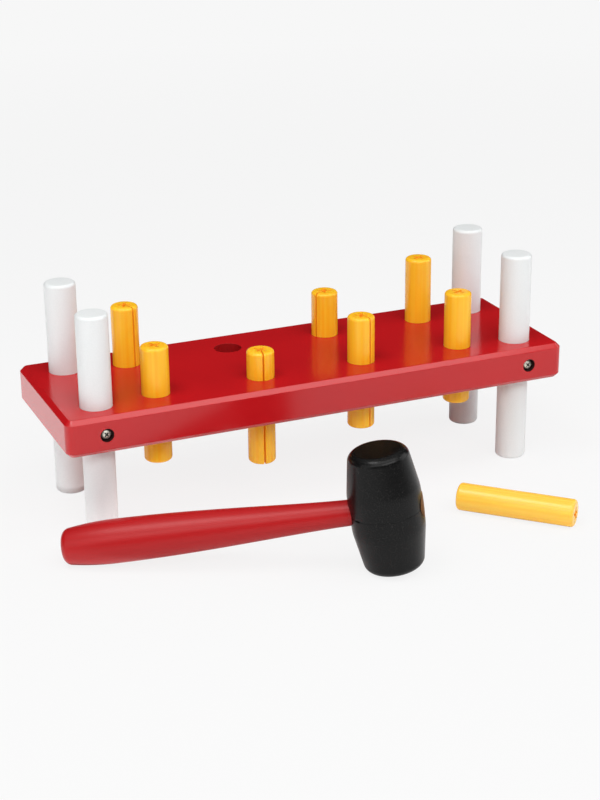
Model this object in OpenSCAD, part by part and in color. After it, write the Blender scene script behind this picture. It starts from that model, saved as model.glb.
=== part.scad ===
// Peg pounding bench: a chamfered plank on four dowel legs that stand equally far out of both
// faces, eight split pegs in two rows of holes, and a mallet with a barrel-shaped rubber head.
// Millimetres, +Z up, floor at z = 0, origin on the floor under the middle of the whole set.

/* [Plank] */
// Length of the plank
plank_l = 270; // [210:1:340]
// Width of the plank
plank_w = 88; // [80:0.5:110]
// Thickness of the plank
plank_t = 19; // [15:0.5:26]
// Radius of the plank's upright corners
plank_corner_r = 4.5; // [3:0.1:8]
// Chamfer round the plank's upper and lower edges
plank_chamfer = 2.2; // [1:0.1:2.8]

/* [Legs] */
// Diameter of a leg
leg_d = 16; // [12:0.5:18]
// How far a leg stands out of each face of the plank
leg_proud = 47; // [44:0.5:60]
// Rounding of the rim at both ends of a leg
leg_rim_r = 1.6; // [0.5:0.1:3]
// From the end of the plank to the axis of a leg
leg_end_inset = 20; // [15:0.5:28]
// From the side of the plank to the axis of a leg
leg_side_inset = 17; // [15:0.5:20]
// Radial gap between a leg and its hole
leg_clearance = 0.05; // [0.01:0.01:0.1]

/* [Leg screws] */
// Diameter of the screw's shank
screw_d = 3; // [2.5:0.1:4]
// Length of the screw under its head
screw_l = 16; // [12:0.5:18]
// Length of the screw's point
screw_tip_l = 2.5; // [1:0.1:4]
// Diameter of the pan head
screw_head_d = 5; // [4.4:0.1:6]
// Height of the pan head
screw_head_h = 2; // [1.6:0.1:2.6]
// Height of the straight edge under the head's dome
screw_edge_h = 0.8; // [0.4:0.1:1.2]
// Width of a wing of the cross recess
recess_w = 0.9; // [0.6:0.1:1.2]
// Span of the cross recess from tip to tip
recess_span = 3.4; // [2.4:0.1:4]
// Depth of the cross recess
recess_depth = 1.2; // [0.6:0.1:1.4]
// Diameter of the counterbore that sinks the head
counterbore_d = 6.8; // [6.2:0.1:9]
// Depth of the counterbore
counterbore_depth = 3.2; // [2.8:0.1:4]
// Radial gap between the shank and its hole
screw_clearance = 0.05; // [0.01:0.01:0.1]

/* [Pegs] */
// Diameter of a peg
peg_d = 14; // [12:0.5:16]
// Length of a peg
peg_l = 60; // [50:1:62]
// Rounding of the rim at both ends of a peg
peg_rim_r = 1.6; // [0.4:0.1:2.5]
// Width of the slit down one side of a peg
peg_slit = 0.9; // [0.5:0.1:1.5]
// Width of an arm of the cross-shaped core
peg_arm_w = 1.6; // [1:0.1:2]
// Reach of an arm of the core from the peg's axis
peg_arm_reach = 3.4; // [2:0.1:4]
// Along the plank, from the axis of a leg to the axis of the peg next to it
peg_leg_gap = 31.75; // [20:0.25:40]
// Distance between the two rows
peg_row_gap = 46.2; // [36:0.2:50]
// Radial gap between a peg and its hole
peg_clearance = 0.05; // [0.01:0.01:0.1]
// How far each peg of the front row stands above the plank, left to right
front_rise = [24.9, 14.2, 24.4, 29.4]; // [0:0.1:41]
// The way each slit of the front row faces, in degrees from +X
front_slit_turn = [154, -99, -72, -13]; // [-180:1:180]
// How far each peg of the back row stands above the plank; the second one lies on the floor
back_rise = [31.5, 0, 23.9, 35.2]; // [0:0.1:41]
// The way each slit of the back row faces, in degrees from +X
back_slit_turn = [-68, 0, -153, -19]; // [-180:1:180]

/* [Peg on the floor] */
// Middle of the peg, to the right of the bench's middle
loose_x = 78; // [60:1:120]
// Middle of the peg, behind the bench's middle
loose_y = -99.5; // [-120:0.5:-80]
// The way the peg points, in degrees from +X
loose_turn = -44.8; // [-80:0.1:-10]
// Roll of the peg about its own axis
loose_roll = 40; // [-180:1:180]

/* [Mallet head] */
// Height of the head from face to face
head_h = 60; // [50:0.5:70]
// Diameter of the head at the rounding of its faces
head_face_d = 29.2; // [24:0.2:32]
// Rounding between a face and the side
head_rim_r = 4.2; // [2:0.1:6]
// Diameter of the belt round the head's middle
head_belt_d = 34.8; // [33:0.2:40]
// Height of the belt
head_belt_h = 18.6; // [17:0.2:24]
// Radius that blends the belt into the tapers
head_blend_r = 25; // [5:1:30]
// Height of the seam groove round the belt
seam_h = 0.6; // [0.3:0.1:1]
// Depth of the seam groove
seam_depth = 0.2; // [0.1:0.05:0.4]
// Radius of the nick in the seam
nick_r = 3; // [2:0.1:5]
// Height of the nick
nick_h = 0.9; // [0.5:0.1:1.5]
// Depth of the nick
nick_depth = 0.8; // [0.4:0.1:1.2]
// The way the nick faces, in degrees from the handle
nick_turn = 39; // [34:1:145]

/* [Mallet handle] */
// From the middle of the head to the butt
handle_reach = 154.8; // [130:0.1:180]
// Diameter of the tenon that goes through the head
tenon_d = 12; // [10:0.2:12.2]
// Radial gap between the tenon and the head
tenon_clearance = 0.05; // [0.01:0.01:0.1]
// Diameter of the neck where the handle leaves the head
neck_d = 12.4; // [12.4:0.2:14]
// Diameter of the grip at its fattest place
grip_d = 21.2; // [18:0.2:24]
// From the butt back to the fattest place of the grip
grip_from_butt = 25.3; // [18:0.1:40]
// How late the grip swells towards its fattest place
grip_swell = 1.4; // [1:0.1:2]
// Slope at which the grip runs into the butt's rounding, in degrees
butt_slope = 9; // [6:0.5:12]
// Rounding of the butt
butt_r = 4; // [3:0.1:6]

/* [Mallet on the floor] */
// Middle of the head, to the right of the bench's middle
mallet_x = -5.9; // [-30:0.1:20]
// Middle of the head, behind the bench's middle
mallet_y = -123.8; // [-150:0.1:-110]
// The way the handle points in plan, in degrees from +X
mallet_turn = 153.5; // [145:0.1:180]

/* [Hidden] */
// How far a cut runs past the face it opens
cut = 1;
// Steps in a rounded rim, in a swelling curve and round a circle
arc_steps = 8;
curve_steps = 20;
$fn = 64;

// Heights in the bench
plank_z = leg_proud;
plank_top = plank_z + plank_t;
leg_l = plank_t + 2 * leg_proud;
leg_x = plank_l / 2 - leg_end_inset;
leg_y = plank_w / 2 - leg_side_inset;
peg_row_y = peg_row_gap / 2;
pegs_per_row = 4;
peg_pitch = 2 * (leg_x - peg_leg_gap) / (pegs_per_row - 1);
empty_hole = 2;

// The mallet's outline: centres of the roundings on which it rests
belt_r = head_belt_d / 2;
rim_ring_r = head_face_d / 2 - head_rim_r;
rim_ring_z = head_h / 2 - head_rim_r;
butt_ring_s = handle_reach - butt_r;
grip_s = handle_reach - grip_from_butt;
butt_start_s = butt_ring_s + butt_r * sin(butt_slope);
butt_drop = (butt_start_s - grip_s) * tan(butt_slope) / 2;
butt_ring_r = grip_d / 2 - butt_drop - butt_r * cos(butt_slope);

// Tilt at which the mallet rests on the rim of its lower face and on its butt
rest_a = butt_ring_s - rim_ring_r;
rest_b = butt_ring_r - rim_ring_z;
mallet_tilt = asin((head_rim_r - butt_r) / norm([rest_a, rest_b])) - atan2(rest_b, rest_a);
mallet_z = rim_ring_z * cos(mallet_tilt) + rim_ring_r * sin(mallet_tilt) + head_rim_r;

// Directions of the handle and of the head's axis on the floor plan
handle_dir = [cos(mallet_turn) * cos(mallet_tilt), sin(mallet_turn) * cos(mallet_tilt)];
head_dir = [cos(mallet_turn) * sin(mallet_tilt), sin(mallet_turn) * sin(mallet_tilt)];
function ring_spread(along, r) = r * sqrt(1 - along * along);

// Reach of the whole set around the bench's middle
butt_left = mallet_x + handle_dir[0] * butt_ring_s - ring_spread(handle_dir[0], butt_ring_r) - butt_r;
belt_front = mallet_y - ring_spread(head_dir[1], belt_r) - abs(head_dir[1]) * head_belt_h / 2;
loose_half_x = abs(cos(loose_turn)) * peg_l / 2 + abs(sin(loose_turn)) * peg_d / 2;
loose_half_y = abs(sin(loose_turn)) * peg_l / 2 + abs(cos(loose_turn)) * peg_d / 2;
set_left = min(-plank_l / 2, butt_left);
set_right = max(plank_l / 2, loose_x + loose_half_x);
set_front = min(-plank_w / 2, belt_front, loose_y - loose_half_y);
set_back = plank_w / 2;
bench_x = -(set_left + set_right) / 2;
bench_y = -(set_front + set_back) / 2;

// Points of a round stretch of an outline, from one angle to another
function arc(x, y, r, from, to) =
    [for (i = [0 : arc_steps])
        let (a = from + (to - from) * i / arc_steps)
        [x + r * cos(a), y + r * sin(a)]];

// Half outline of a round bar with both rims rounded
function bar_outline(r, l, rim) = concat(
    [[0, 0]],
    arc(r - rim, rim, rim, -90, 0),
    arc(r - rim, l - rim, rim, 0, 90),
    [[0, l]]
);

function peg_x(i) = (i - (pegs_per_row + 1) / 2) * peg_pitch;

// Places what belongs to the bench, with its middle over the origin of the bench
module on_bench() {
    translate([bench_x, bench_y, 0])
        children();
}

// Flat octagonal bar along X, chamfered on its long edges
module chamfered_bar(l, w, t, c) {
    rotate([90, 0, 90])
        translate([0, 0, -l / 2])
            linear_extrude(height = l)
                polygon([
                    [-w / 2, c], [-w / 2 + c, 0], [w / 2 - c, 0], [w / 2, c],
                    [w / 2, t - c], [w / 2 - c, t], [-w / 2 + c, t], [-w / 2, t - c]
                ]);
}

// Slab with round upright corners, chamfered all the way round top and bottom
module chamfered_slab(l, w, t, r, c) {
    chamfered_bar(l - 2 * r, w, t, c);
    rotate(90)
        chamfered_bar(w - 2 * r, l, t, c);
    for (sx = [-1, 1], sy = [-1, 1])
        translate([sx * (l / 2 - r), sy * (w / 2 - r), 0])
            rotate_extrude()
                polygon([[0, 0], [r - c, 0], [r, c], [r, t - c], [r - c, t], [0, t]]);
}

// Places a screw or its hole: the head's seat at the origin, the shank along +Z into the leg
module at_screw(sx, sy) {
    on_bench()
        translate([sx * leg_x, sy * (plank_w / 2 - counterbore_depth), plank_z + plank_t / 2])
            rotate([sy * 90, 0, 0])
                children();
}

// Hole that the screw's shank fills, through the plank's side and into the leg
module shank_hole() {
    translate([0, 0, -cut])
        cylinder(r = screw_d / 2 + screw_clearance, h = screw_l + 2 * cut);
}

// Wooden plank with its peg holes, leg holes and sunk screw holes
module bench_plank() {
    color("#B92229")
    difference() {
        on_bench()
            translate([0, 0, plank_z])
                union()
                    chamfered_slab(plank_l, plank_w, plank_t, plank_corner_r, plank_chamfer);
        on_bench()
            for (row = [-1, 1], i = [1 : pegs_per_row])
                translate([peg_x(i), row * peg_row_y, plank_z - cut])
                    cylinder(r = peg_d / 2 + peg_clearance, h = plank_t + 2 * cut);
        for (sx = [-1, 1], sy = [-1, 1]) {
            on_bench()
                translate([sx * leg_x, sy * leg_y, plank_z - cut])
                    cylinder(r = leg_d / 2 + leg_clearance, h = plank_t + 2 * cut);
            at_screw(sx, sy)
                shank_hole();
            at_screw(sx, sy)
                translate([0, 0, -counterbore_depth - cut])
                    cylinder(d = counterbore_d, h = counterbore_depth + cut);
        }
    }
}

// Dowel leg through the plank, drilled across for its screw
module bench_leg(sx, sy) {
    color("#E9E7E4")
    difference() {
        on_bench()
            translate([sx * leg_x, sy * leg_y, 0])
                rotate_extrude()
                    polygon(bar_outline(leg_d / 2, leg_l, leg_rim_r));
        at_screw(sx, sy)
            shank_hole();
    }
}

// Pan-head screw with a cross recess and a pointed shank
module leg_screw() {
    head_r = screw_head_d / 2;
    dome_h = screw_head_h - screw_edge_h;
    dome = [for (i = [0 : arc_steps])
        let (a = 90 * i / arc_steps)
        [head_r * cos(a), -screw_edge_h - dome_h * sin(a)]];
    difference() {
        union() {
            rotate_extrude()
                polygon(concat([[0, 0], [head_r, 0]], dome));
            rotate_extrude()
                polygon([
                    [0, -screw_edge_h], [screw_d / 2, -screw_edge_h],
                    [screw_d / 2, screw_l - screw_tip_l], [0, screw_l]
                ]);
        }
        for (a = [45, 135])
            rotate(a)
                translate([-recess_span / 2, -recess_w / 2, -screw_head_h - cut])
                    cube([recess_span, recess_w, recess_depth + cut]);
    }
}

// The four screws that hold the legs, driven in from the long sides
module leg_screws() {
    color("#B8B8B8")
    for (sx = [-1, 1], sy = [-1, 1])
        at_screw(sx, sy)
            leg_screw();
}

// Split peg along +Z: a round bar with a cross-shaped core and a slit that faces +X
module split_peg() {
    color("#F8B62D")
    difference() {
        rotate_extrude()
            polygon(bar_outline(peg_d / 2, peg_l, peg_rim_r));
        translate([0, -peg_slit / 2, -cut])
            cube([peg_d, peg_slit, peg_l + 2 * cut]);
        for (a = [45, 135])
            rotate(a)
                translate([-peg_arm_reach, -peg_arm_w / 2, -cut])
                    cube([2 * peg_arm_reach, peg_arm_w, peg_l + 2 * cut]);
    }
}

// Peg standing in its hole, with its top a given height above the plank
module standing_peg(i, row_y, rise, slit_turn) {
    on_bench()
        translate([peg_x(i), row_y, plank_top + rise - peg_l])
            rotate(slit_turn)
                split_peg();
}

// Peg of the front row
module peg_front(i) {
    standing_peg(i, -peg_row_y, front_rise[i - 1], front_slit_turn[i - 1]);
}

// Peg of the back row, one of which has been taken out of its hole
module peg_back(i) {
    if (i == empty_hole)
        loose_peg();
    else
        standing_peg(i, peg_row_y, back_rise[i - 1], back_slit_turn[i - 1]);
}

// Peg lying on the floor in front of the bench
module loose_peg() {
    on_bench()
        translate([loose_x, loose_y, peg_d / 2])
            rotate([0, 90, loose_turn])
                rotate(loose_roll)
                    translate([0, 0, -peg_l / 2])
                        split_peg();
}

// Places the mallet's pieces: the head's middle at the origin, its axis along Z, the handle along +X
module on_mallet() {
    on_bench()
        translate([mallet_x, mallet_y, mallet_z])
            rotate([0, mallet_tilt, mallet_turn])
                children();
}

// Radius of the handle at a distance from the head's middle, from the neck to the grip
function swell(s) =
    let (t = (s - belt_r) / (grip_s - belt_r))
    (neck_d + (grip_d - neck_d) * pow(sin(90 * t), grip_swell)) / 2;

// Turned handle: a tenon through the head, a swelling grip and a rounded butt
module mallet_handle() {
    grip = [for (i = [0 : curve_steps])
        let (s = belt_r + (grip_s - belt_r) * i / curve_steps)
        [swell(s), s]];
    fall = [for (i = [1 : arc_steps - 1])
        let (t = i / arc_steps)
        [grip_d / 2 - butt_drop * t * t, grip_s + (butt_start_s - grip_s) * t]];
    color("#BE2A2C")
    on_mallet()
        rotate([0, 90, 0])
            rotate_extrude()
                polygon(concat(
                    [[0, -belt_r], [tenon_d / 2, -belt_r], [tenon_d / 2, belt_r]],
                    grip,
                    fall,
                    arc(butt_ring_r, butt_ring_s, butt_r, butt_slope, 90),
                    [[0, handle_reach]]
                ));
}

// Barrel-shaped head: a belt with a moulding seam and a nick in it, a taper to each face, and a bore
// across for the handle
module mallet_head() {
    to_belt = [belt_r - rim_ring_r, head_belt_h / 2 - rim_ring_z];
    taper_a = atan2(to_belt[1], to_belt[0]) + acos(head_rim_r / norm(to_belt));
    blend_l = head_blend_r * tan(taper_a / 2);
    upper = concat(
        arc(belt_r - head_blend_r, head_belt_h / 2 - blend_l, head_blend_r, 0, taper_a),
        arc(rim_ring_r, rim_ring_z, head_rim_r, taper_a, 90),
        [[0, head_h / 2]]
    );
    lower = [for (i = [len(upper) - 1 : -1 : 0]) [upper[i][0], -upper[i][1]]];
    seam = [[belt_r, -seam_h / 2], [belt_r - seam_depth, 0], [belt_r, seam_h / 2]];
    color("#2B2B2B")
    on_mallet()
        difference() {
            rotate_extrude()
                polygon(concat(lower, seam, upper));
            rotate([0, 90, 0])
                translate([0, 0, -head_belt_d])
                    cylinder(r = tenon_d / 2 + tenon_clearance, h = 2 * head_belt_d);
            rotate(nick_turn)
                translate([belt_r - nick_depth + nick_r, 0, -nick_h / 2])
                    cylinder(r = nick_r, h = nick_h);
        }
}

bench_plank();
bench_leg(-1, -1);  // leg_front_left
bench_leg(1, -1);  // leg_front_right
bench_leg(-1, 1);  // leg_back_left
bench_leg(1, 1);  // leg_back_right
leg_screws();
for (i = [1 : pegs_per_row]) {
    peg_front(i);
    peg_back(i);
}
mallet_handle();
mallet_head();
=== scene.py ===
from math import acos, atan2, cos, hypot, pi, radians, sin, tan

import bmesh
import bpy
from mathutils import Matrix, Vector


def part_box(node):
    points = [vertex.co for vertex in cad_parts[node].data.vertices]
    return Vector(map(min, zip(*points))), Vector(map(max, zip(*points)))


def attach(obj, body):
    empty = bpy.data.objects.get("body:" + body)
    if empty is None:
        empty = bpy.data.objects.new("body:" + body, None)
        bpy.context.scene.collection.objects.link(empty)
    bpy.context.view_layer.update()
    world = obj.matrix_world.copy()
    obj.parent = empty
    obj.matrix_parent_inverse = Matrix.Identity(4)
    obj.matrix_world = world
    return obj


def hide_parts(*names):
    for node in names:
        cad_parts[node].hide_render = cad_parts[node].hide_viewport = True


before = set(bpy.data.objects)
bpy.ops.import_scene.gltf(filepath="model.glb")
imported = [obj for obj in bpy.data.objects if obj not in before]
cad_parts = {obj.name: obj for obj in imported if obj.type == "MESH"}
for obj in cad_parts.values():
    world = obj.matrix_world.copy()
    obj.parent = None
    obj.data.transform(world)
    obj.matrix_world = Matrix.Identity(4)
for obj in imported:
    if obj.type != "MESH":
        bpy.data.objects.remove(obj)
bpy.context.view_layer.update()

# Plank
# One board of solid wood, planed and moulded with a chamfer round both faces, then drilled for the
# pegs and the legs. It is sprayed with red lacquer, peg holes included, and holes for the screws are
# sunk in its long sides. The walls of the peg holes and the insides of the screw holes carry painted
# shade.

MM = 0.001
plank_low, plank_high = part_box("bench_plank")
plank_middle = (plank_low + plank_high) / 2
plank_size = plank_high - plank_low
plank_corner_r = 4.5 * MM
plank_chamfer = 2.2 * MM
plank_edge_r = 0.25 * MM
peg_hole_r = 7.05 * MM
leg_hole_r = 8.05 * MM
counterbore_r = 3.4 * MM
counterbore_depth = 3.2 * MM
past_face = 1 * MM
HAIR = 0.1 * MM
ROUND = 64
SMALL_ROUND = 40
SHARP_ANGLE = radians(38)

PEGS = [f"peg_{row}_{i}" for row in ("front", "back") for i in (1, 2, 3, 4)]
LEGS = [f"leg_{row}_{side}" for row in ("front", "back") for side in ("left", "right")]
LOOSE_PEG = "peg_back_2"


def middle_of(node):
    """Middle of a CAD node's box."""
    low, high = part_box(node)
    return (low + high) / 2


def carve(solid, cutter):
    """Cuts the cutter's closed shape out of the solid. Both are bmeshes, and both are used up."""
    pair = []
    for shape in (solid, cutter):
        bmesh.ops.recalc_face_normals(shape, faces=shape.faces)
        mesh = bpy.data.meshes.new("carved")
        shape.to_mesh(mesh)
        shape.free()
        pair.append(bpy.data.objects.new("carved", mesh))
        bpy.context.scene.collection.objects.link(pair[-1])
    cut = pair[0].modifiers.new("cut", "BOOLEAN")
    cut.operation = "DIFFERENCE"
    cut.solver = "EXACT"
    cut.object = pair[1]
    result = bmesh.new()
    result.from_object(pair[0], bpy.context.evaluated_depsgraph_get())
    for done in pair:
        bpy.data.meshes.remove(done.data)
    return result


def soften(bm, edges, radius, segments=2):
    """Rounds edges, as sanding and lacquer leave them."""
    bmesh.ops.bevel(bm, geom=edges, offset=radius, offset_type="OFFSET", segments=segments,
                    profile=0.5, affect="EDGES", material=-1)


def finished(name, bm, *materials):
    """Makes the mesh an object at the origin, smooth where its faces meet at a shallow angle."""
    mesh = bpy.data.meshes.new(name)
    bm.to_mesh(mesh)
    bm.free()
    mesh.shade_smooth()
    mesh.set_sharp_from_angle(angle=SHARP_ANGLE)
    for material in materials:
        mesh.materials.append(material)
    piece = bpy.data.objects.new(name, mesh)
    bpy.context.scene.collection.objects.link(piece)
    normals = piece.modifiers.new("flat faces stay flat", "WEIGHTED_NORMAL")
    normals.keep_sharp = True
    return piece


def upright_hole(bm, place, radius):
    """Adds a drill's shape through the whole thickness of the plank."""
    bmesh.ops.create_cone(bm, cap_ends=True, segments=ROUND, radius1=radius, radius2=radius,
                          depth=plank_size.z + 2 * past_face,
                          matrix=Matrix.Translation((place.x, place.y, plank_middle.z)))


def screw_place(leg):
    """Where the screw of a leg enters the plank's side: local +Z points out of the wood."""
    front = "front" in leg
    side_y = plank_low.y if front else plank_high.y
    turn = Matrix.Rotation(radians(90 if front else -90), 4, "X")
    return Matrix.Translation((middle_of(leg).x, side_y, plank_middle.z)) @ turn


def empty_peg_place():
    """Middle of the hole that the loose peg came out of: beside its neighbour in the front row."""
    return Vector((middle_of("peg_front_2").x, middle_of("peg_back_1").y, 0))


bm = bmesh.new()
bmesh.ops.create_cube(bm, size=1, matrix=Matrix.LocRotScale(plank_middle, None, plank_size))
uprights = [e for e in bm.edges if abs(e.verts[0].co.z - e.verts[1].co.z) > plank_size.z / 2]
soften(bm, uprights, plank_corner_r, segments=10)
rims = [e for e in bm.edges if abs(e.verts[0].co.z - e.verts[1].co.z) < plank_edge_r]
soften(bm, rims, plank_chamfer, segments=1)

peg_places = [empty_peg_place() if peg == LOOSE_PEG else middle_of(peg) for peg in PEGS]
drills = bmesh.new()
for place in peg_places:
    upright_hole(drills, place, peg_hole_r)
for leg in LEGS:
    upright_hole(drills, middle_of(leg), leg_hole_r)
bm = carve(bm, drills)
drills = bmesh.new()
for leg in LEGS:
    sunk = Matrix.Translation((0, 0, (past_face - counterbore_depth) / 2))
    bmesh.ops.create_cone(drills, cap_ends=True, segments=SMALL_ROUND, radius1=counterbore_r,
                          radius2=counterbore_r, depth=counterbore_depth + past_face,
                          matrix=screw_place(leg) @ sunk)
bm = carve(bm, drills)


def deep_in_wood(v):
    """Whether a point lies well below all four long faces, where no sandpaper reaches."""
    inner = counterbore_depth / 2
    return (plank_low.y + inner < v.co.y < plank_high.y - inner
            and plank_low.z + 2 * inner < v.co.z < plank_high.z - 2 * inner)


def on_counterbore_floor(v):
    """Whether a point lies on the flat floor of a sunk screw hole."""
    below_side = min(v.co.y - plank_low.y, plank_high.y - v.co.y)
    return abs(below_side - counterbore_depth) < HAIR


corner_angle = radians(30)
edges = [e for e in bm.edges if len(e.link_faces) == 2 and e.calc_face_angle() > corner_angle]
edges = [e for e in edges if not all(deep_in_wood(v) for v in e.verts)]
edges = [e for e in edges if not all(on_counterbore_floor(v) for v in e.verts)]
soften(bm, edges, plank_edge_r)


def linear(hex_colour):
    """Linear colour of an sRGB hex value."""
    parts = [int(hex_colour[i:i + 2], 16) / 255 for i in (1, 3, 5)]
    return [c / 12.92 if c <= 0.04045 else ((c + 0.055) / 1.055) ** 2.4 for c in parts] + [1]


def add_node(tree, kind, inputs=None, **settings):
    """Adds a shader node. An input takes a number, a colour or another node's output."""
    node = tree.nodes.new("ShaderNode" + kind)
    for name, value in settings.items():
        setattr(node, name, value)
    for name, value in (inputs or {}).items():
        if isinstance(value, bpy.types.NodeSocket):
            tree.links.new(value, node.inputs[name])
        else:
            node.inputs[name].default_value = value
    return node


def new_material(name):
    """A material with its node tree and its Principled shader."""
    material = bpy.data.materials.new(name)
    material.use_nodes = True
    tree = material.node_tree
    return material, tree, tree.nodes["Principled BSDF"]


def per(size_mm):
    """Scale at which a pattern's features are about this many millimetres wide."""
    return 1 / (size_mm * MM)


# Sprayed polyurethane lacquer on planed beech, red and half gloss: it mirrors what stands on it,
# a little blurred. Faint waves of the spray and of the grain below show in its reflections.
red_lacquer, tree, shader = new_material("red_sprayed_lacquer")
place = add_node(tree, "TexCoord").outputs["Object"]
along = add_node(tree, "Mapping", {"Vector": place, "Scale": (0.04, 1, 1)})
grain = add_node(tree, "TexNoise", {"Vector": along.outputs["Vector"], "Scale": per(1.6), "Detail": 3})
spray = add_node(tree, "TexNoise", {"Vector": place, "Scale": per(1.1), "Detail": 1})
cloud = add_node(tree, "TexNoise", {"Vector": place, "Scale": per(30), "Detail": 2})
pigment = add_node(tree, "Mix", {0: cloud.outputs["Fac"], 6: linear("#B61218"), 7: linear("#BE141A")},
                   data_type="RGBA")
waves = add_node(tree, "Math", {0: grain.outputs["Fac"], 1: spray.outputs["Fac"]}, operation="ADD")
bump = add_node(tree, "Bump", {"Height": waves.outputs["Value"], "Distance": 0.004 * MM})
gloss = add_node(tree, "MapRange", {"Value": spray.outputs["Fac"], "To Min": 0.16, "To Max": 0.22})
tree.links.new(pigment.outputs[2], shader.inputs["Base Color"])
tree.links.new(gloss.outputs["Result"], shader.inputs["Roughness"])
tree.links.new(bump.outputs["Normal"], shader.inputs["Normal"])
shader.inputs["IOR"].default_value = 1.5

# The insides of the sunk screw holes, painted nearly black as painted shade in the recess.
counterbore_painted_shade, tree, shader = new_material("screw_hole_painted_shade")
place = add_node(tree, "TexCoord").outputs["Object"]
counterbore_shade_noise = add_node(tree, "TexNoise", {"Vector": place, "Scale": per(0.6), "Detail": 3})
tone = add_node(tree, "Mix", {0: counterbore_shade_noise.outputs["Fac"], 6: linear("#180606"), 7: linear("#360A0A")},
                data_type="RGBA")
tree.links.new(tone.outputs[2], shader.inputs["Base Color"])
shader.inputs["Roughness"].default_value = 0.6

# Faces inside each sunk screw hole get the painted shade.
for to_screw in [screw_place(leg).inverted() for leg in LEGS]:
    for face in bm.faces:
        spot = to_screw @ face.calc_center_median()
        if hypot(spot.x, spot.y) < counterbore_r and -2 * counterbore_depth < spot.z < -plank_edge_r:
            face.material_index = 1

# The same red lacquer on the walls of the peg holes, painted darker as painted shade inside the holes.
peg_hole_painted_shade, tree, shader = new_material("red_lacquer_painted_shade_in_peg_holes")
place = add_node(tree, "TexCoord").outputs["Object"]
peg_hole_shade_noise = add_node(tree, "TexNoise", {"Vector": place, "Scale": per(1.2), "Detail": 3})
tone = add_node(tree, "Mix", {0: peg_hole_shade_noise.outputs["Fac"], 6: linear("#960C10"), 7: linear("#A40E12")},
                data_type="RGBA")
tree.links.new(tone.outputs[2], shader.inputs["Base Color"])
shader.inputs["Roughness"].default_value = 0.4

# Walls of the peg holes get the darker red painted shade.
steep = 0.5
walls = [face for face in bm.faces if abs(face.normal.z) < steep]
for hole in peg_places:
    for face in walls:
        spot = face.calc_center_median() - hole
        if hypot(spot.x, spot.y) < peg_hole_r + plank_edge_r / 2:
            face.material_index = 2

plank = finished("plank_lacquered", bm, red_lacquer, counterbore_painted_shade, peg_hole_painted_shade)
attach(plank, "bench")
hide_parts("bench_plank")

# Legs
# Four dowels of turned wood, with a rounded rim at both ends, lacquered white and a little dull.
# Each goes right through the plank, stands out equally far below and above, and is held by a screw.

leg_rim_r = 1.6 * MM


def turned(outline, rounded=(), segments=6, steps=ROUND):
    """Closed shape turned round Z from half its outline, a list of (radius, height) points.
    rounded lists points to round off: (place in the outline, distance along both edges)."""
    bm = bmesh.new()
    points = [bm.verts.new((radius, 0, height)) for radius, height in outline]
    for start, end in zip(points, points[1:]):
        bm.edges.new((start, end))
    for i, distance in rounded:
        bmesh.ops.bevel(bm, geom=[points[i]], offset=distance, offset_type="OFFSET",
                        segments=segments, profile=0.5, affect="VERTICES", material=-1)
    bmesh.ops.spin(bm, geom=bm.verts[:] + bm.edges[:], cent=(0, 0, 0), axis=(0, 0, 1),
                   dvec=(0, 0, 0), angle=2 * pi, steps=steps, use_merge=True)
    bmesh.ops.remove_doubles(bm, verts=bm.verts, dist=0.001 * MM)
    bmesh.ops.recalc_face_normals(bm, faces=bm.faces)
    return bm


# White furniture lacquer, rolled or dipped: the fine grain of the dowel still stands through it,
# so it has a soft, slightly speckled sheen and no clear reflections.
white_lacquer, tree, shader = new_material("white_satin_lacquer")
place = add_node(tree, "TexCoord").outputs["Object"]
along = add_node(tree, "Mapping", {"Vector": place, "Scale": (1, 1, 0.12)})
grain = add_node(tree, "TexNoise", {"Vector": along.outputs["Vector"], "Scale": per(0.9), "Detail": 4})
speck = add_node(tree, "TexNoise", {"Vector": place, "Scale": per(0.7), "Detail": 2})
tone = add_node(tree, "Mix", {0: speck.outputs["Fac"], 6: linear("#DEE1E1"), 7: linear("#E7E9E9")},
                data_type="RGBA")
waves = add_node(tree, "Math", {0: grain.outputs["Fac"], 1: speck.outputs["Fac"]}, operation="ADD")
bump = add_node(tree, "Bump", {"Height": waves.outputs["Value"], "Distance": 0.02 * MM})
gloss = add_node(tree, "MapRange", {"Value": grain.outputs["Fac"], "To Min": 0.38, "To Max": 0.5})
tree.links.new(tone.outputs[2], shader.inputs["Base Color"])
tree.links.new(gloss.outputs["Result"], shader.inputs["Roughness"])
tree.links.new(bump.outputs["Normal"], shader.inputs["Normal"])

for leg in LEGS:
    low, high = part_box(leg)
    r = (high.x - low.x) / 2
    length = high.z - low.z
    bm = turned([(0, 0), (r, 0), (r, length), (0, length)], [(1, leg_rim_r), (2, leg_rim_r)])
    bmesh.ops.translate(bm, verts=bm.verts, vec=((low.x + high.x) / 2, (low.y + high.y) / 2, low.z))
    piece = finished(leg + "_dowel", bm, white_lacquer)
    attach(piece, "bench")
    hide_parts(leg)

# Leg screws
# Four pan-head wood screws with a cross recess, of zinc-plated steel, driven through the long sides
# of the plank into the legs. Their heads sit below the surface in round counterbores.

screw_head_r = 2.5 * MM
screw_head_h = 2.0 * MM
screw_edge_h = 0.8 * MM
screw_shank_r = 1.5 * MM
screw_l = 16 * MM
screw_tip_l = 2.5 * MM
recess_span = 3.4 * MM
recess_w = 0.9 * MM
recess_depth = 1.2 * MM
recess_taper = 0.6
recess_skin = 0.12 * MM
dome_h = screw_head_h - screw_edge_h
dome_steps = 8
DIAGONALS = (45, 135)

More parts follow.
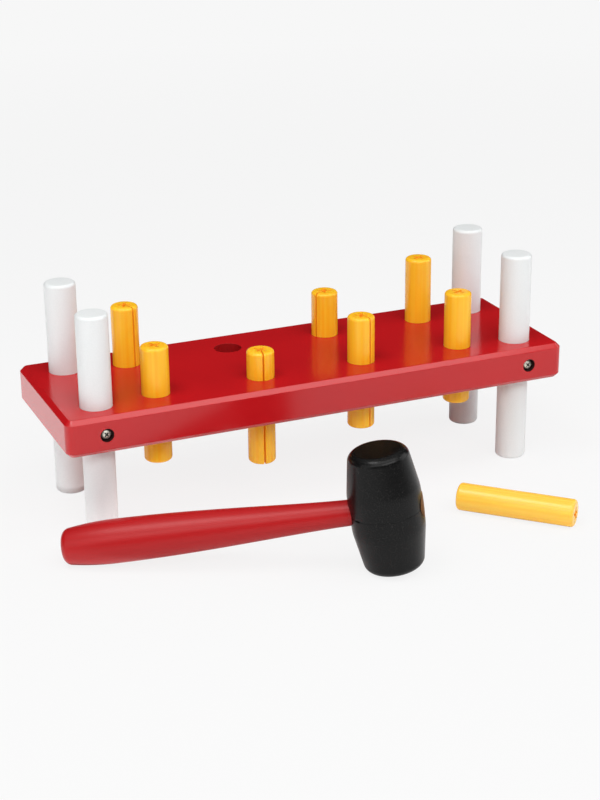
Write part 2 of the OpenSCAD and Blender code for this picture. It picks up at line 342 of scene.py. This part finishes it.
# Zinc-plated steel, stamped: bright and a little cloudy, as the plating bath leaves it.
zinc_steel, tree, shader = new_material("zinc_plated_steel")
place = add_node(tree, "TexCoord").outputs["Object"]
cloud = add_node(tree, "TexNoise", {"Vector": place, "Scale": per(0.6), "Detail": 3})
tone = add_node(tree, "Mix", {0: cloud.outputs["Fac"], 6: linear("#DAD7C8"), 7: linear("#F0EEE2")},
                data_type="RGBA")
gloss = add_node(tree, "MapRange", {"Value": cloud.outputs["Fac"], "To Min": 0.38, "To Max": 0.52})
bump = add_node(tree, "Bump", {"Height": cloud.outputs["Fac"], "Distance": 0.01 * MM})
tree.links.new(tone.outputs[2], shader.inputs["Base Color"])
tree.links.new(gloss.outputs["Result"], shader.inputs["Roughness"])
tree.links.new(bump.outputs["Normal"], shader.inputs["Normal"])
shader.inputs["Metallic"].default_value = 1

# The same steel in the driver recess, painted dark as painted shade in the recess.
recess_painted_shade, tree, shader = new_material("steel_painted_shade_in_recess")
place = add_node(tree, "TexCoord").outputs["Object"]
recess_shade_noise = add_node(tree, "TexNoise", {"Vector": place, "Scale": per(0.5), "Detail": 3})
tone = add_node(tree, "Mix", {0: recess_shade_noise.outputs["Fac"], 6: linear("#23261F"), 7: linear("#3A3D34")},
                data_type="RGBA")
tree.links.new(tone.outputs[2], shader.inputs["Base Color"])
shader.inputs["Roughness"].default_value = 0.5

dome_angles = [pi / 2 * i / dome_steps for i in range(dome_steps)]
dome = [(screw_head_r * cos(a), screw_edge_h + dome_h * sin(a)) for a in dome_angles]
shank = [(0, -screw_l), (screw_shank_r, screw_tip_l - screw_l), (screw_shank_r, 0), (screw_head_r, 0)]
screw = turned(shank + dome + [(0, screw_head_h)], steps=SMALL_ROUND)
for quarter in DIAGONALS:
    wing = bmesh.new()
    bmesh.ops.create_cube(wing, size=1, matrix=Matrix.LocRotScale(
        Vector((0, 0, screw_head_h)), None, Vector((recess_span, recess_w, 2 * recess_depth))))
    floor_of_wing = [v for v in wing.verts if v.co.z < screw_head_h]
    bmesh.ops.scale(wing, verts=floor_of_wing, vec=(recess_taper, recess_taper, 1))
    bmesh.ops.rotate(wing, verts=wing.verts, matrix=Matrix.Rotation(radians(quarter), 3, "Z"))
    screw = carve(screw, wing)

# Faces inside the driver recess get the painted shade.
for face in screw.faces:
    spot = face.calc_center_median()
    out = hypot(spot.x, spot.y)
    if out < recess_span / 2:
        dome_z = screw_edge_h + dome_h * (1 - (out / screw_head_r) ** 2) ** 0.5
        face.material_index = 1 if 0 < spot.z < dome_z - recess_skin else 0
bm = bmesh.new()
for leg in LEGS:
    one = screw.copy()
    bmesh.ops.transform(one, verts=one.verts,
                        matrix=screw_place(leg) @ Matrix.Translation((0, 0, -counterbore_depth)))
    mesh = bpy.data.meshes.new("one_screw")
    one.to_mesh(mesh)
    one.free()
    bm.from_mesh(mesh)
    bpy.data.meshes.remove(mesh)
screw.free()
screws = finished("leg_screws_plated", bm, zinc_steel, recess_painted_shade)
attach(screws, "bench")
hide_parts("leg_screws")

# Pegs
# Eight pegs cut from one extruded plastic bar, which is round outside, has a cross-shaped core and is
# slit down one side, so a peg springs against its hole. The cut ends have a rounded rim.

peg_r = 7 * MM
peg_l = 60 * MM
peg_rim_r = 1.6 * MM
peg_slit = 0.9 * MM
peg_arm_w = 1.6 * MM
peg_arm_reach = 3.4 * MM
slit_turn = {
    "peg_front_1": 154, "peg_front_2": -99, "peg_front_3": -72, "peg_front_4": -13,
    "peg_back_1": -68, "peg_back_3": -153, "peg_back_4": -19,
}
loose_turn = -44.8
loose_roll = 40
OWN_PLACE = "own_place"


def long_cut(width, start, end, turn):
    """Cutter that runs the whole length of a peg, from one reach to another, turned round its axis."""
    bm = bmesh.new()
    bmesh.ops.create_cube(bm, size=1, matrix=Matrix.LocRotScale(
        Vector(((start + end) / 2, 0, peg_l / 2)), None, Vector((end - start, width, 2 * peg_l))))
    bmesh.ops.rotate(bm, verts=bm.verts, matrix=Matrix.Rotation(radians(turn), 3, "Z"))
    return bm


def keep_own_place(bm):
    """Writes each point's place on the piece itself, so that a pattern follows the piece."""
    own = bm.verts.layers.float_vector.new(OWN_PLACE)
    for v in bm.verts:
        v[own] = v.co


def peg_plastic(name, dark, light):
    """Extruded polyethylene, glossy and a little translucent, with faint lines from the die."""
    plastic, tree, shader = new_material(name)
    place = add_node(tree, "Attribute", attribute_name=OWN_PLACE).outputs["Vector"]
    along = add_node(tree, "Mapping", {"Vector": place, "Scale": (1, 1, 0.004)})
    noise = add_node(tree, "TexNoise", {"Vector": along.outputs["Vector"], "Scale": per(1.5), "Detail": 2})
    lines = noise.outputs["Fac"]
    streaks = add_node(tree, "MapRange", {"Value": lines, "From Min": 0.3, "From Max": 0.7})
    tone = add_node(tree, "Mix", {0: streaks.outputs["Result"], 6: linear(dark), 7: linear(light)},
                    data_type="RGBA")
    bump = add_node(tree, "Bump", {"Height": lines, "Distance": 0.04 * MM})
    gloss = add_node(tree, "MapRange", {"Value": lines, "To Min": 0.2, "To Max": 0.3})
    tree.links.new(tone.outputs[2], shader.inputs["Base Color"])
    tree.links.new(gloss.outputs["Result"], shader.inputs["Roughness"])
    tree.links.new(bump.outputs["Normal"], shader.inputs["Normal"])
    shader.inputs["IOR"].default_value = 1.45
    shader.inputs["Subsurface Weight"].default_value = 0.2
    shader.inputs["Subsurface Radius"].default_value = (1, 0.5, 0.1)
    shader.inputs["Subsurface Scale"].default_value = 2 * MM
    return plastic


# Plastic on the pegs in their holes, and a paler copy of it on the knocked-out peg, as painted light for
# the brighter light it lies in.
yellow_plastic = peg_plastic("yellow_extruded_polyethylene", "#FFB71D", "#FFC82F")
loose_peg_painted_lighter = peg_plastic("yellow_polyethylene_painted_lighter", "#FFC03C", "#FFCF52")

# The same plastic on the walls of the slit and the core, painted paler with a painted amber glow that
# stands in for light coming through the wall of the peg, so the narrow openings never look black.
glow_painted_plastic, tree, shader = new_material("polyethylene_painted_glow")
place = add_node(tree, "Attribute", attribute_name=OWN_PLACE).outputs["Vector"]
along = add_node(tree, "Mapping", {"Vector": place, "Scale": (1, 1, 0.01)})
lines = add_node(tree, "TexNoise", {"Vector": along.outputs["Vector"], "Scale": per(0.8), "Detail": 2})
tone = add_node(tree, "Mix", {0: lines.outputs["Fac"], 6: linear("#F0AC2A"), 7: linear("#F8B834")},
                data_type="RGBA")
tree.links.new(tone.outputs[2], shader.inputs["Base Color"])
shader.inputs["Roughness"].default_value = 0.45
shader.inputs["Emission Color"].default_value = linear("#DE8A12")
shader.inputs["Emission Strength"].default_value = 0.13

peg_outline = [(0, 0), (peg_r, 0), (peg_r, peg_l), (0, peg_l)]
peg_model = turned(peg_outline, [(1, peg_rim_r), (2, peg_rim_r)])
peg_model = carve(peg_model, long_cut(peg_slit, 0, 2 * peg_r, 0))
for quarter in DIAGONALS:
    peg_model = carve(peg_model, long_cut(peg_arm_w, -peg_arm_reach, peg_arm_reach, quarter))
keep_own_place(peg_model)
# Walls of the core and the slit get the painted glow.
for face in peg_model.faces:
    out = face.calc_center_median() * Vector((1, 1, 0))
    in_core = out.length < peg_r - 2 * peg_rim_r
    in_slit = abs(face.normal.dot(out)) < steep * out.length
    upright = abs(face.normal.z) < steep
    face.material_index = 1 if upright and (in_core or in_slit) else 0

for peg in PEGS:
    low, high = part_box(peg)
    bm = peg_model.copy()
    if peg == LOOSE_PEG:
        lie = Matrix.Rotation(radians(loose_turn), 4, "Z") @ Matrix.Rotation(radians(90), 4, "Y")
        roll = Matrix.Rotation(radians(loose_roll), 4, "Z")
        centred = Matrix.Translation((0, 0, -peg_l / 2))
        place = Matrix.Translation((low + high) / 2) @ lie @ roll @ centred
    else:
        foot = Vector(((low.x + high.x) / 2, (low.y + high.y) / 2, low.z))
        place = Matrix.Translation(foot) @ Matrix.Rotation(radians(slit_turn[peg]), 4, "Z")
    bmesh.ops.transform(bm, verts=bm.verts, matrix=place)
    plastic = loose_peg_painted_lighter if peg == LOOSE_PEG else yellow_plastic
    piece = finished(peg + "_plastic", bm, plastic, glow_painted_plastic)
    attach(piece, "loose_peg" if peg == LOOSE_PEG else peg)
    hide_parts(peg)
peg_model.free()

# Mallet handle
# One turned length of beech with a slim neck, a swelling grip and a rounded butt, lacquered red.
# Its tenon goes right through the rubber head, and the sawn end of it is left bare. It lies tilted, so
# that the rim of the head and the butt both touch the floor.

handle_turn = radians(153.5)
handle_tilt = radians(8.54248)
head_middle = middle_of("mallet_head")
handle_reach = 154.8 * MM
tenon_r = 6 * MM
neck_r = 6.2 * MM
grip_r = 10.6 * MM
grip_s = 129.5 * MM
grip_swell = 1.4
butt_r = 4 * MM
butt_slope = radians(9)
belt_r = 17.4 * MM
curve_steps = 24
butt_steps = 8
on_mallet = (Matrix.Translation(head_middle) @ Matrix.Rotation(handle_turn, 4, "Z")
             @ Matrix.Rotation(handle_tilt, 4, "Y"))
along_handle = on_mallet @ Matrix.Rotation(radians(90), 4, "Y")


def handle_radius(s):
    """Radius of the handle between its neck and its fattest place."""
    t = (s - belt_r) / (grip_s - belt_r)
    return neck_r + (grip_r - neck_r) * sin(pi / 2 * t) ** grip_swell


butt_ring_s = handle_reach - butt_r
butt_start = butt_ring_s + butt_r * sin(butt_slope)
butt_drop = (butt_start - grip_s) * tan(butt_slope) / 2
outline = [(0, -belt_r), (tenon_r, -belt_r), (tenon_r, 0), (tenon_r, belt_r)]
for i in range(curve_steps + 1):
    s = belt_r + (grip_s - belt_r) * i / curve_steps
    outline.append((handle_radius(s), s))
for i in range(1, butt_steps):
    t = i / butt_steps
    outline.append((grip_r - butt_drop * t * t, grip_s + (butt_start - grip_s) * t))
butt_ring_r = grip_r - butt_drop - butt_r * cos(butt_slope)
for i in range(butt_steps + 1):
    a = butt_slope + (pi / 2 - butt_slope) * i / butt_steps
    outline.append((butt_ring_r + butt_r * cos(a), butt_ring_s + butt_r * sin(a)))
outline.append((0, handle_reach))
bm = turned(outline)
keep_own_place(bm)
for face in bm.faces:
    face.material_index = 1 if face.calc_center_median().z < 0 else 0
bmesh.ops.transform(bm, verts=bm.verts, matrix=along_handle)

# The same red lacquer on turned beech, duller than on the plank, so a light gives a broad soft streak.
handle_lacquer, tree, shader = new_material("red_lacquer_on_turned_beech")
place = add_node(tree, "Attribute", attribute_name=OWN_PLACE).outputs["Vector"]
along = add_node(tree, "Mapping", {"Vector": place, "Scale": (1, 1, 0.06)})
grain = add_node(tree, "TexNoise", {"Vector": along.outputs["Vector"], "Scale": per(1.2), "Detail": 4})
spray = add_node(tree, "TexNoise", {"Vector": place, "Scale": per(1.0), "Detail": 2})
tone = add_node(tree, "Mix", {0: grain.outputs["Fac"], 6: linear("#A51013"), 7: linear("#AF1317")},
                data_type="RGBA")
waves = add_node(tree, "Math", {0: grain.outputs["Fac"], 1: spray.outputs["Fac"]}, operation="ADD")
bump = add_node(tree, "Bump", {"Height": waves.outputs["Value"], "Distance": 0.006 * MM})
gloss = add_node(tree, "MapRange", {"Value": spray.outputs["Fac"], "To Min": 0.32, "To Max": 0.4})
tree.links.new(tone.outputs[2], shader.inputs["Base Color"])
tree.links.new(gloss.outputs["Result"], shader.inputs["Roughness"])
tree.links.new(bump.outputs["Normal"], shader.inputs["Normal"])
shader.inputs["Specular IOR Level"].default_value = 0.3

# Bare sawn beech, darkened with handling: short dark flecks along the grain.
bare_beech, tree, shader = new_material("bare_sawn_beech")
place = add_node(tree, "Attribute", attribute_name=OWN_PLACE).outputs["Vector"]
along = add_node(tree, "Mapping", {"Vector": place, "Scale": (1, 1, 0.1)})
flecks = add_node(tree, "TexNoise", {"Vector": along.outputs["Vector"], "Scale": per(0.8), "Detail": 4})
tone = add_node(tree, "Mix", {0: flecks.outputs["Fac"], 6: linear("#5E3A18"), 7: linear("#8A5C30")},
                data_type="RGBA")
bump = add_node(tree, "Bump", {"Height": flecks.outputs["Fac"], "Distance": 0.05 * MM})
tree.links.new(tone.outputs[2], shader.inputs["Base Color"])
tree.links.new(bump.outputs["Normal"], shader.inputs["Normal"])
shader.inputs["Roughness"].default_value = 0.7

handle = finished("handle_lacquered", bm, handle_lacquer, bare_beech)
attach(handle, "mallet")
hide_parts("mallet_handle")

# Mallet head
# A barrel of black rubber, moulded in two halves, so a fine seam runs round its belt, with a nick in
# it beside the handle. It is bored across and pressed over the handle's tenon.

head_half = 30 * MM
head_face_r = 14.6 * MM
head_rim_r = 4.2 * MM
head_belt_half = 9.3 * MM
head_blend_r = 25 * MM
seam_half = 0.3 * MM
seam_depth = 0.2 * MM
bore_r = 6.05 * MM
nick_turn = radians(39)
nick_r = 3 * MM
nick_h = 0.9 * MM
nick_depth = 0.8 * MM
head_round = 96
face_tilt = radians(12)

ring_r, ring_z = head_face_r - head_rim_r, head_half - head_rim_r
to_belt = (belt_r - ring_r, head_belt_half - ring_z)
taper = atan2(to_belt[1], to_belt[0]) + acos(head_rim_r / hypot(*to_belt))
corner_r = belt_r - (head_half - head_belt_half) * tan(taper)
rim_run = head_rim_r * tan((pi / 2 - taper) / 2)
blend_run = head_blend_r * tan(taper / 2)
outline = [(0, -head_half), (corner_r, -head_half), (belt_r, -head_belt_half), (belt_r, -seam_half),
           (belt_r - seam_depth, 0), (belt_r, seam_half), (belt_r, head_belt_half),
           (corner_r, head_half), (0, head_half)]
rounded = [(1, rim_run), (2, blend_run), (6, blend_run), (7, rim_run)]
bm = turned(outline, rounded, segments=10, steps=head_round)
bore = bmesh.new()
bmesh.ops.create_cone(bore, cap_ends=True, segments=ROUND, radius1=bore_r, radius2=bore_r,
                      depth=4 * belt_r, matrix=Matrix.Rotation(radians(90), 4, "Y"))
bm = carve(bm, bore)
nick = bmesh.new()
beside_belt = Matrix.Translation((belt_r - nick_depth + nick_r, 0, 0))
bmesh.ops.create_cone(nick, cap_ends=True, segments=ROUND, radius1=nick_r, radius2=nick_r,
                      depth=nick_h, matrix=Matrix.Rotation(nick_turn, 4, "Z") @ beside_belt)
bm = carve(bm, nick)
keep_own_place(bm)
for face in bm.faces:
    face.material_index = 1 if abs(face.normal.z) > cos(face_tilt) else 0
bmesh.ops.transform(bm, verts=bm.verts, matrix=on_mallet)

# Moulded black rubber: dull, with a fine bloom that greys it unevenly and a few specks of dust.
black_rubber, tree, shader = new_material("black_moulded_rubber")
place = add_node(tree, "Attribute", attribute_name=OWN_PLACE).outputs["Vector"]
bloom = add_node(tree, "TexNoise", {"Vector": place, "Scale": per(9), "Detail": 4})
pits = add_node(tree, "TexNoise", {"Vector": place, "Scale": per(0.5), "Detail": 2})
black = add_node(tree, "Mix", {0: bloom.outputs["Fac"], 6: linear("#0A0A0A"), 7: linear("#0F0F0F")},
                 data_type="RGBA")
dust = add_node(tree, "MapRange", {"Value": pits.outputs["Fac"], "From Min": 0.62, "From Max": 0.78})
tone = add_node(tree, "Mix", {0: dust.outputs["Result"], 6: black.outputs[2], 7: linear("#3C3A38")},
                data_type="RGBA")
bump = add_node(tree, "Bump", {"Height": pits.outputs["Fac"], "Distance": 0.035 * MM})
gloss = add_node(tree, "MapRange", {"Value": bloom.outputs["Fac"], "To Min": 0.2, "To Max": 0.3})
tree.links.new(tone.outputs[2], shader.inputs["Base Color"])
tree.links.new(gloss.outputs["Result"], shader.inputs["Roughness"])
tree.links.new(bump.outputs["Normal"], shader.inputs["Normal"])
shader.inputs["Specular IOR Level"].default_value = 0.18

# The same rubber on the two striking faces, scuffed dull by use, with paler crumbs in the scuffs.
scuffed_rubber, tree, shader = new_material("scuffed_black_rubber")
place = add_node(tree, "Attribute", attribute_name=OWN_PLACE).outputs["Vector"]
scuffs = add_node(tree, "TexNoise", {"Vector": place, "Scale": per(3), "Detail": 4})
black = add_node(tree, "Mix", {0: scuffs.outputs["Fac"], 6: linear("#080707"), 7: linear("#0D0C0C")},
                 data_type="RGBA")
crumbs = add_node(tree, "TexNoise", {"Vector": place, "Scale": per(0.9), "Detail": 3})
worn = add_node(tree, "MapRange", {"Value": crumbs.outputs["Fac"], "From Min": 0.55, "From Max": 0.72})
tone = add_node(tree, "Mix", {0: worn.outputs["Result"], 6: black.outputs[2], 7: linear("#282624")},
                data_type="RGBA")
bump = add_node(tree, "Bump", {"Height": scuffs.outputs["Fac"], "Distance": 0.03 * MM})
tree.links.new(tone.outputs[2], shader.inputs["Base Color"])
tree.links.new(bump.outputs["Normal"], shader.inputs["Normal"])
shader.inputs["Roughness"].default_value = 0.35
shader.inputs["Specular IOR Level"].default_value = 0.05

head = finished("mallet_head_rubber", bm, black_rubber, scuffed_rubber)
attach(head, "mallet")
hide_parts("mallet_head")

# Floor
# A wide, plain sheet of pale card that everything stands on. To the eye and in reflections it is lit
# from below as well, as on a light table, and the shadows of the pieces still fall on it.

floor_size = 40
near_glow = 0.9
mirror_glow = 0.15
glow_near, glow_far = 0.45, 1.3
floor_card, tree, shader = new_material("pale_card_on_light_table")
place = add_node(tree, "TexCoord").outputs["Object"]
fibre = add_node(tree, "TexNoise", {"Vector": place, "Scale": per(2), "Detail": 2})
tone = add_node(tree, "Mix", {0: fibre.outputs["Fac"], 6: linear("#F2F2F2"), 7: linear("#F4F4F4")},
                data_type="RGBA")
tree.links.new(tone.outputs[2], shader.inputs["Base Color"])
shader.inputs["Roughness"].default_value = 0.9
shader.inputs["Specular IOR Level"].default_value = 0
away = add_node(tree, "VectorMath", {0: place}, operation="LENGTH").outputs["Value"]
far = add_node(tree, "MapRange", {"Value": away, "From Min": glow_near, "From Max": glow_far})
white = add_node(tree, "Mix", {0: far.outputs["Result"], 6: linear("#F8F8F8"), 7: linear("#F7F7F7")},
                 data_type="RGBA")
glow = add_node(tree, "Emission", {"Color": white.outputs[2], "Strength": 1})
ray = add_node(tree, "LightPath").outputs
eye_share = add_node(tree, "MapRange", {"Value": far.outputs["Result"],
                                        "To Min": near_glow, "To Max": 1})
eye_part = add_node(tree, "Math", {0: ray["Is Camera Ray"], 1: eye_share.outputs["Result"]},
                    operation="MULTIPLY")
mirrored = add_node(tree, "Math", {0: ray["Is Glossy Ray"], 1: ray["Is Transmission Ray"]},
                    operation="MAXIMUM")
share = add_node(tree, "Math", {0: mirrored.outputs["Value"], 1: mirror_glow,
                                2: eye_part.outputs["Value"]}, operation="MULTIPLY_ADD")
mix = add_node(tree, "MixShader", {0: share.outputs["Value"], 1: shader.outputs["BSDF"],
                                   2: glow.outputs["Emission"]})
tree.links.new(mix.outputs["Shader"], tree.nodes["Material Output"].inputs["Surface"])
bm = bmesh.new()
bmesh.ops.create_grid(bm, x_segments=1, y_segments=1, size=floor_size / 2)
floor = finished("floor", bm, floor_card)

# Light
# A studio with two softboxes overhead and two in front, a panel on either side and a pale ceiling.
# A low light behind the bench's left end shines up off the floor. Past the floor the eye sees a pale
# backdrop, which sheds no light of its own.

scene = bpy.context.scene
scene.view_settings.view_transform = "Standard"


def softbox(name, place, target, size, watts):
    """A soft light with a flat front that faces its target."""
    lamp = bpy.data.lights.new(name, "AREA")
    lamp.shape = "RECTANGLE"
    lamp.size, lamp.size_y = size
    lamp.energy = watts
    box = bpy.data.objects.new(name, lamp)
    box.location = place
    box.rotation_euler = (Vector(target) - Vector(place)).to_track_quat("-Z", "Y").to_euler()
    scene.collection.objects.link(box)


softbox("softbox_above", (0.05, -0.45, 1.2), (0.05, -0.4, 0), (1.5, 0.4), 5.2)
softbox("softbox_above_left", (-0.5, -0.05, 1.2), (-0.45, -0.05, 0), (0.5, 0.4), 4.2)
softbox("softbox_front", (0.15, -1, 0.9), (0, 0, 0.05), (1.3, 0.4), 7.1)
softbox("softbox_front_left", (-0.8, -0.85, 0.9), (0, 0, 0.05), (0.6, 0.4), 2.4)
softbox("panel_left", (-1, -0.3, 0.45), (0, 0, 0.06), (0.8, 0.7), 2.1)
softbox("panel_right", (1, -0.15, 0.45), (0, 0, 0.06), (0.8, 0.7), 3.1)
softbox("floor_light_behind", (-0.2, 0.22, 0.003), (-0.2, 0.22, 1), (0.3, 0.5), 0.17)

ceiling_from, ceiling_full = radians(30), radians(60)
world = bpy.data.worlds.new("dim_room")
scene.world = world
world.use_nodes = True
tree = world.node_tree
tree.nodes.clear()
heading = add_node(tree, "TexCoord").outputs["Generated"]
height = add_node(tree, "SeparateXYZ", {"Vector": heading}).outputs["Z"]
ceiling = add_node(tree, "MapRange", {"Value": height, "To Min": 0.02, "To Max": 0.48,
                                      "From Min": sin(ceiling_from), "From Max": sin(ceiling_full)},
                   interpolation_type="SMOOTHSTEP")
room = add_node(tree, "Background", {"Color": (1, 1, 1, 1), "Strength": ceiling.outputs["Result"]})
backdrop = add_node(tree, "Background", {"Color": linear("#F7F7F7"), "Strength": 1})
seen = add_node(tree, "MixShader", {0: add_node(tree, "LightPath").outputs["Is Camera Ray"],
                                    1: room.outputs["Background"], 2: backdrop.outputs["Background"]})
add_node(tree, "OutputWorld", {"Surface": seen.outputs["Shader"]})

# Camera
# The photograph's own view: from the front left, a little above the bench.

camera_place = Vector((-333.51, -762.84, 385.29)) * MM
camera_yaw = radians(22.8545)
camera_pitch = radians(21.4182)
camera_roll = radians(-0.6425)
focal_px = 1803.06
picture_height_px = 800

lens = bpy.data.cameras.new("camera")
lens.sensor_width = 36
lens.lens = focal_px * lens.sensor_width / picture_height_px
camera = bpy.data.objects.new("camera", lens)
turn = (Matrix.Rotation(-camera_yaw, 4, "Z") @ Matrix.Rotation(pi / 2 - camera_pitch, 4, "X")
        @ Matrix.Rotation(camera_roll, 4, "Z"))
camera.matrix_world = Matrix.Translation(camera_place) @ turn
scene.collection.objects.link(camera)
scene.camera = camera
